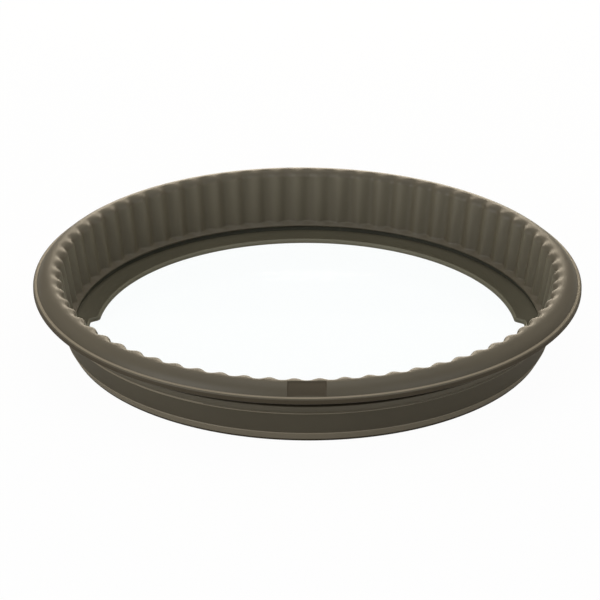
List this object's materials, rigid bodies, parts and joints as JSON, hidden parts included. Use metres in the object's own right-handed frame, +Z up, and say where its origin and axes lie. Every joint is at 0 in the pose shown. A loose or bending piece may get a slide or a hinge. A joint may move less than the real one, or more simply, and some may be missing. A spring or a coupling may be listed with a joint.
{
  "type": "glass-bottom tart pan",
  "caption": "Round tart pan: a flexible ring with a fluted wall, a crowned rim and a groove that grips the edge of a clear glass base plate, which lifts out.",
  "frame": {"origin": "on the pan's axis, in the plane that its foot stands on", "axes": "+Z up along the pan's axis, -Y towards the front, where the bare panel in the rim is"},
  "size_m": [0.3102, 0.3102, 0.04],
  "materials": {
    "silicone": "satin",
    "clear_glass": "gloss"
  },
  "bodies": {
    "ring": {"silicone_ring": "silicone"},
    "base_plate": {"glass_base": "clear_glass"}
  },
  "joints": [
    {"name": "glass_base_lift", "type": "slide", "parent": "ring", "child": "base_plate", "axis": [0, 0, 1], "range_m": [0, 0.06], "deforming": ["silicone_ring"]}
  ]
}
